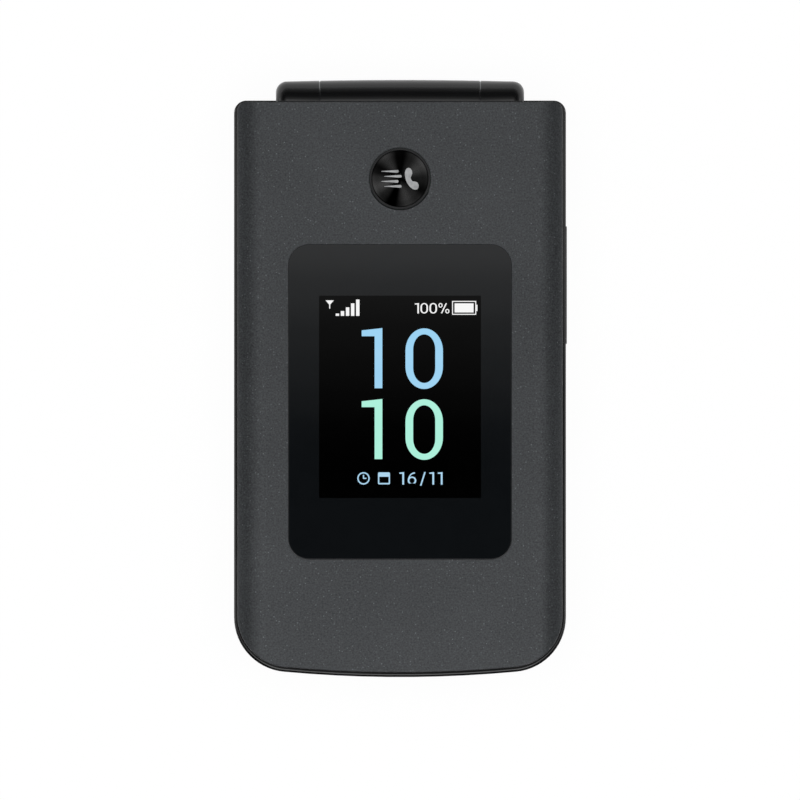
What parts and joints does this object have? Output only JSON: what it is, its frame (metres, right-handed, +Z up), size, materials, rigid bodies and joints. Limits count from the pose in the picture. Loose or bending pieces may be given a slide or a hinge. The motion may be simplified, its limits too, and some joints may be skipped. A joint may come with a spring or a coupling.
{
  "type": "flip phone",
  "caption": "Folding phone with a cam-hinged display lid, outer display, quick-call button, sprung keypad, navigation ring and volume rocker.",
  "frame": {"origin": "centre of the closed phone's outline, on the plane of its back", "axes": "+X across the phone to the right seen from the lid, +Y from the chin to the hinge, +Z up out of the lid"},
  "size_m": [0.0578, 0.1034, 0.0186],
  "materials": {
    "lid_paint": "graphite metallic paint with a fine sparkle, satin",
    "frame_plastic": "dark moulded plastic, satin gloss",
    "case_plastic": "fine spark-eroded texture",
    "outer_glass": "clear hard-coated lens, printed black behind",
    "inner_glass": "clear hard-coated lens, printed black behind",
    "button_metal": "spun and anodised black",
    "ring_plastic": "dark gloss",
    "key_plastic": "satin black keys with light legends",
    "nav_metal": "satin",
    "display_glass": "display module",
    "steel": "pressed or turned steel",
    "screw_steel": "blackened screws",
    "brass_gold": "gold-plated contacts",
    "rubber": "soft black rubber",
    "silicone": "translucent silicone",
    "board": "solder-masked circuit board",
    "film": "polyester film",
    "flex": "polyimide film",
    "cell": "battery case with plain wrap",
    "part_plastic": "moulded component",
    "bush_plastic": "acetal"
  },
  "bodies": {
    "base": {"keypad_cover": "frame_plastic", "rear_case": "case_plastic", "battery_cover": "case_plastic", "battery": "cell", "main_board": "board", "shield_cans": "steel", "dome_sheet": "film", "camera_module": "part_plastic", "camera_window": "outer_glass", "loudspeaker": "part_plastic", "vibration_motor": "steel", "usb_port": "steel", "headset_jack": "part_plastic", "sim_slot": "steel", "battery_contacts": "brass_gold", "base_screws": "screw_steel", "hinge_shaft": "steel", "hinge_cam": "steel", "hinge_pin": "steel", "flex_cable": "flex"},
    "lid": {"lid_outer_cover": "lid_paint", "lid_inner_cover": "frame_plastic", "outer_lens": "outer_glass", "outer_display": "display_glass", "quick_call_ring": "ring_plastic", "lid_chassis": "steel", "lid_board": "board", "inner_lens": "inner_glass", "inner_display": "display_glass", "receiver": "steel", "earpiece_mesh": "screw_steel", "lid_bumpers": "rubber", "lid_magnet": "steel", "lid_screws": "screw_steel", "hinge_sleeve": "steel", "hinge_follower": "steel", "hinge_spring": "steel", "hinge_bush": "bush_plastic"},
    "key_1": {"key_1": "key_plastic"},
    "key_2": {"key_2": "key_plastic"},
    "key_3": {"key_3": "key_plastic"},
    "key_4": {"key_4": "key_plastic"},
    "key_5": {"key_5": "key_plastic"},
    "key_6": {"key_6": "key_plastic"},
    "key_7": {"key_7": "key_plastic"},
    "key_8": {"key_8": "key_plastic"},
    "key_9": {"key_9": "key_plastic"},
    "key_star": {"key_star": "key_plastic"},
    "key_0": {"key_0": "key_plastic"},
    "key_hash": {"key_hash": "key_plastic"},
    "call_key": {"call_key": "key_plastic"},
    "clear_key": {"clear_key": "key_plastic"},
    "end_key": {"end_key": "key_plastic"},
    "soft_key_left": {"soft_key_left": "key_plastic"},
    "soft_key_right": {"soft_key_right": "key_plastic"},
    "ok_key": {"ok_key": "key_plastic"},
    "quick_call_button": {"quick_call_button": "button_metal"},
    "nav_pad": {"nav_pad": "silicone"},
    "nav_ring": {"nav_ring": "nav_metal"},
    "volume_rocker": {"volume_rocker": "frame_plastic"}
  },
  "joints": [
    {"name": "lid_hinge", "type": "hinge", "parent": "base", "child": "lid", "pos_m": [0, 0.04715, 0.0108], "axis": [-1, 0, 0], "range_deg": [0, 160]},
    {"name": "key_1_press", "type": "slide", "parent": "base", "child": "key_1", "axis": [0, 0, -1], "range_m": [0, 0.00025], "stiffness_N_per_m": 400},
    {"name": "key_2_press", "type": "slide", "parent": "base", "child": "key_2", "axis": [0, 0, -1], "range_m": [0, 0.00025], "stiffness_N_per_m": 400},
    {"name": "key_3_press", "type": "slide", "parent": "base", "child": "key_3", "axis": [0, 0, -1], "range_m": [0, 0.00025], "stiffness_N_per_m": 400},
    {"name": "key_4_press", "type": "slide", "parent": "base", "child": "key_4", "axis": [0, 0, -1], "range_m": [0, 0.00025], "stiffness_N_per_m": 400},
    {"name": "key_5_press", "type": "slide", "parent": "base", "child": "key_5", "axis": [0, 0, -1], "range_m": [0, 0.00025], "stiffness_N_per_m": 400},
    {"name": "key_6_press", "type": "slide", "parent": "base", "child": "key_6", "axis": [0, 0, -1], "range_m": [0, 0.00025], "stiffness_N_per_m": 400},
    {"name": "key_7_press", "type": "slide", "parent": "base", "child": "key_7", "axis": [0, 0, -1], "range_m": [0, 0.00025], "stiffness_N_per_m": 400},
    {"name": "key_8_press", "type": "slide", "parent": "base", "child": "key_8", "axis": [0, 0, -1], "range_m": [0, 0.00025], "stiffness_N_per_m": 400},
    {"name": "key_9_press", "type": "slide", "parent": "base", "child": "key_9", "axis": [0, 0, -1], "range_m": [0, 0.00025], "stiffness_N_per_m": 400},
    {"name": "key_star_press", "type": "slide", "parent": "base", "child": "key_star", "axis": [0, 0, -1], "range_m": [0, 0.00025], "stiffness_N_per_m": 400},
    {"name": "key_0_press", "type": "slide", "parent": "base", "child": "key_0", "axis": [0, 0, -1], "range_m": [0, 0.00025], "stiffness_N_per_m": 400},
    {"name": "key_hash_press", "type": "slide", "parent": "base", "child": "key_hash", "axis": [0, 0, -1], "range_m": [0, 0.00025], "stiffness_N_per_m": 400},
    {"name": "call_key_press", "type": "slide", "parent": "base", "child": "call_key", "axis": [0, 0, -1], "range_m": [0, 0.00025], "stiffness_N_per_m": 400},
    {"name": "clear_key_press", "type": "slide", "parent": "base", "child": "clear_key", "axis": [0, 0, -1], "range_m": [0, 0.00025], "stiffness_N_per_m": 400},
    {"name": "end_key_press", "type": "slide", "parent": "base", "child": "end_key", "axis": [0, 0, -1], "range_m": [0, 0.00025], "stiffness_N_per_m": 400},
    {"name": "soft_key_left_press", "type": "slide", "parent": "base", "child": "soft_key_left", "axis": [0, 0, -1], "range_m": [0, 0.00025], "stiffness_N_per_m": 400},
    {"name": "soft_key_right_press", "type": "slide", "parent": "base", "child": "soft_key_right", "axis": [0, 0, -1], "range_m": [0, 0.00025], "stiffness_N_per_m": 400},
    {"name": "ok_key_press", "type": "slide", "parent": "base", "child": "ok_key", "axis": [0, 0, -1], "range_m": [0, 0.00025], "stiffness_N_per_m": 400},
    {"name": "quick_call_press", "type": "slide", "parent": "lid", "child": "quick_call_button", "axis": [0, 0, -1], "range_m": [0, 0.00025], "stiffness_N_per_m": 400},
    {"name": "nav_tilt_up_down", "type": "hinge", "parent": "base", "child": "nav_pad", "pos_m": [0, 0.0186, 0.00772], "axis": [1, 0, 0], "range_deg": [-1, 1], "stiffness_Nm_per_rad": 0.8},
    {"name": "nav_tilt_left_right", "type": "hinge", "parent": "nav_pad", "child": "nav_ring", "pos_m": [0, 0.0186, 0.00833], "axis": [0, 1, 0], "range_deg": [-1, 1], "stiffness_Nm_per_rad": 0.8},
    {"name": "volume_rock", "type": "hinge", "parent": "base", "child": "volume_rocker", "pos_m": [0.0264, 0.0162, 0.0049], "axis": [0, 0, 1], "range_deg": [-1.5, 1.5], "stiffness_Nm_per_rad": 0.8}
  ]
}
